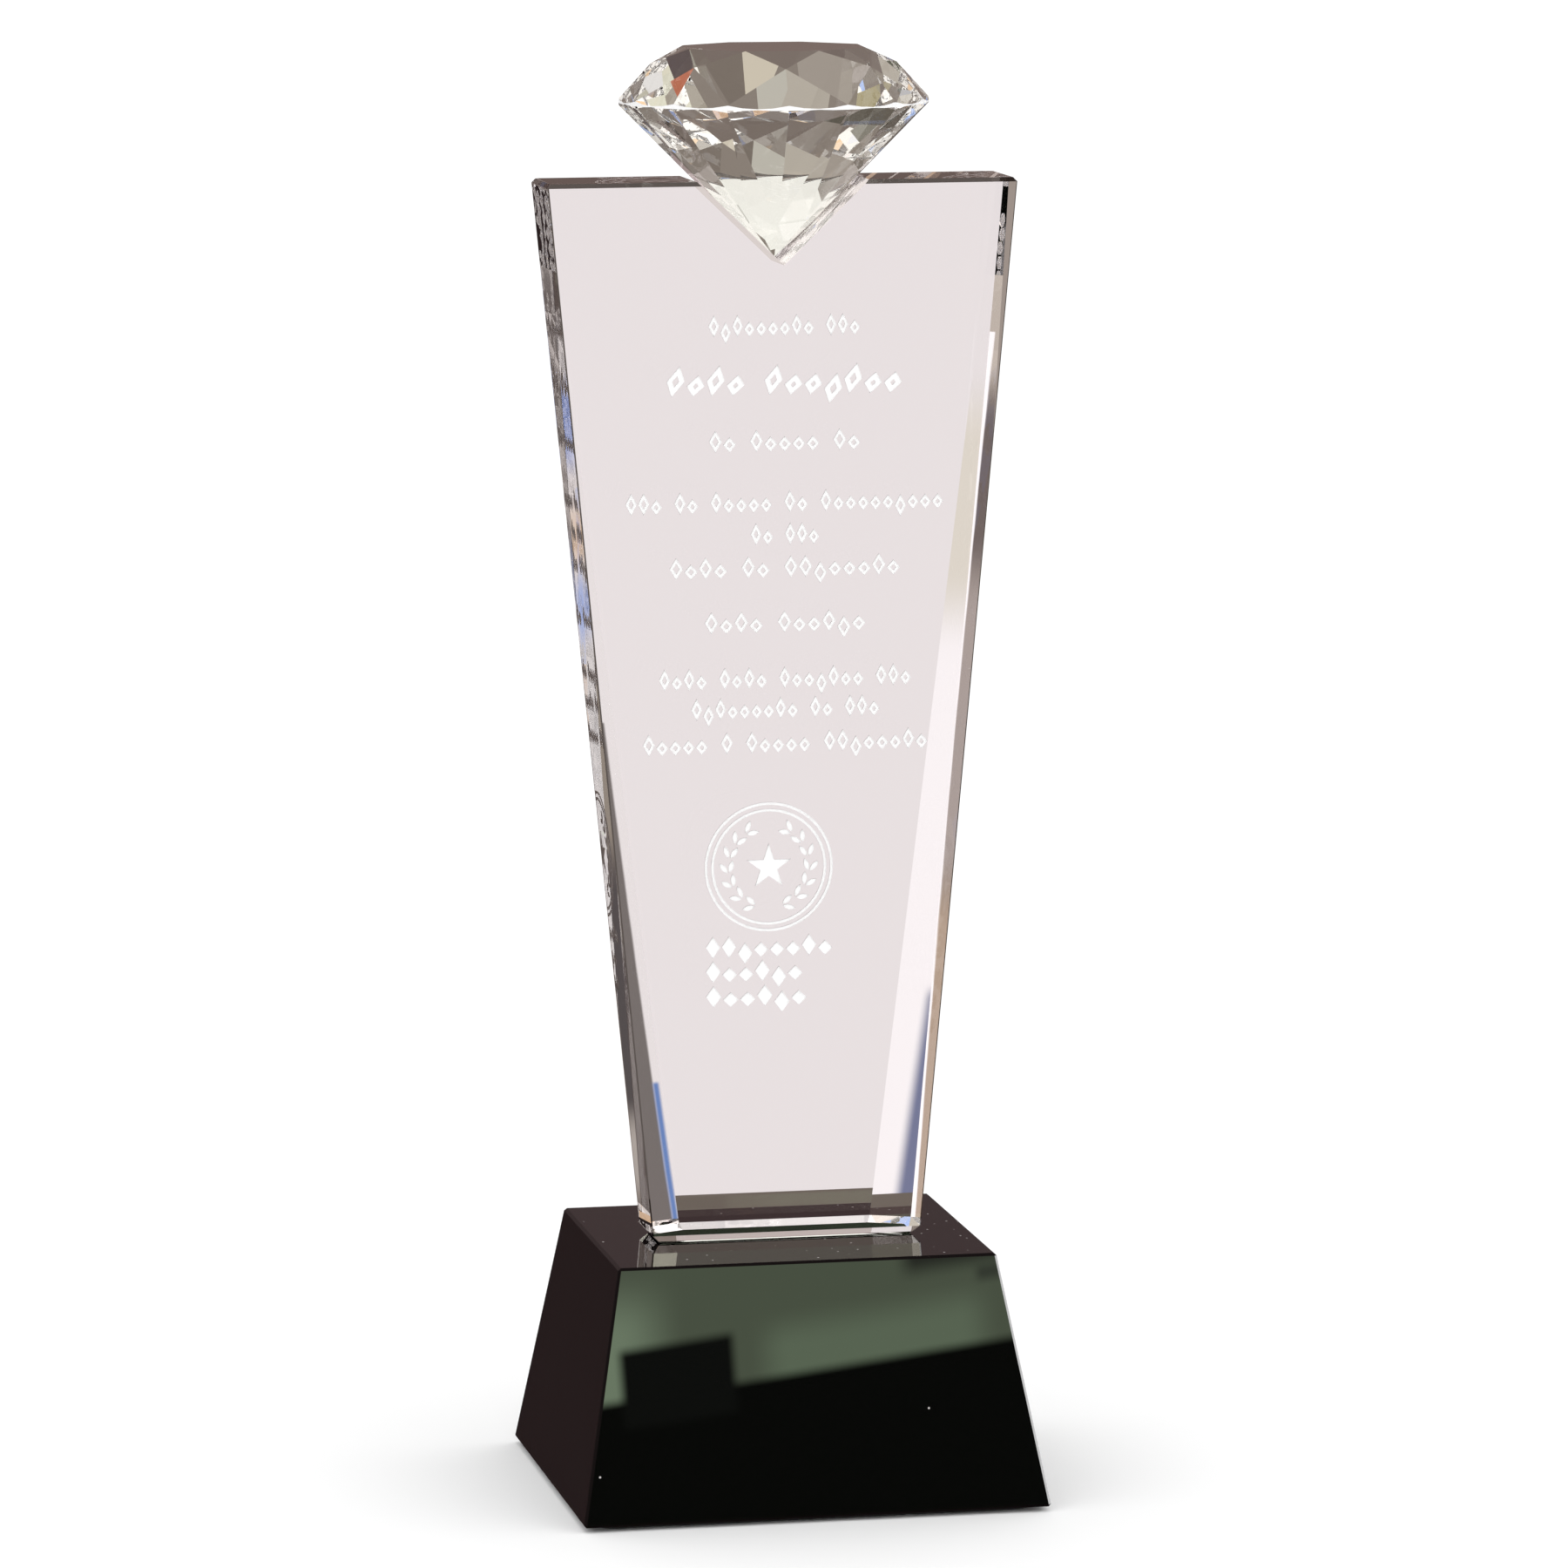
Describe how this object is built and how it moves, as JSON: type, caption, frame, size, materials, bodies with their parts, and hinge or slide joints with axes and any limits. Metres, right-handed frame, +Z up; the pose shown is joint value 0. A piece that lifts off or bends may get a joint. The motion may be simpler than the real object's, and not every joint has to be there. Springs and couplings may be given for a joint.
{
  "type": "crystal award",
  "caption": "Free-standing desk award: a flared clear crystal tower on a black crystal base, holding a clear brilliant-cut crystal diamond in a notch at its top.",
  "frame": {"origin": "centre of the felt pad's underside, which the award stands on", "axes": "+Z up along the tower; -Y is the engraved front; +X to the viewer's right as they face the front"},
  "size_m": [0.092, 0.0828, 0.2818],
  "materials": {
    "felt_pad": "short-pile black felt, matt",
    "black_crystal": "opaque black optical glass, polished on every face with narrow polished chamfers",
    "clear_adhesive": "clear UV-cured adhesive",
    "clear_crystal": null,
    "cut_crystal": "clear optical crystal, faceted as a round brilliant and polished"
  },
  "bodies": {
    "root": {"base_felt_pad": "felt_pad", "base_block": "black_crystal", "tower_bond_film": "clear_adhesive", "tower_slab": "clear_crystal", "diamond_bond_left": "clear_adhesive", "diamond_bond_right": "clear_adhesive", "diamond": "cut_crystal"}
  },
  "joints": []
}
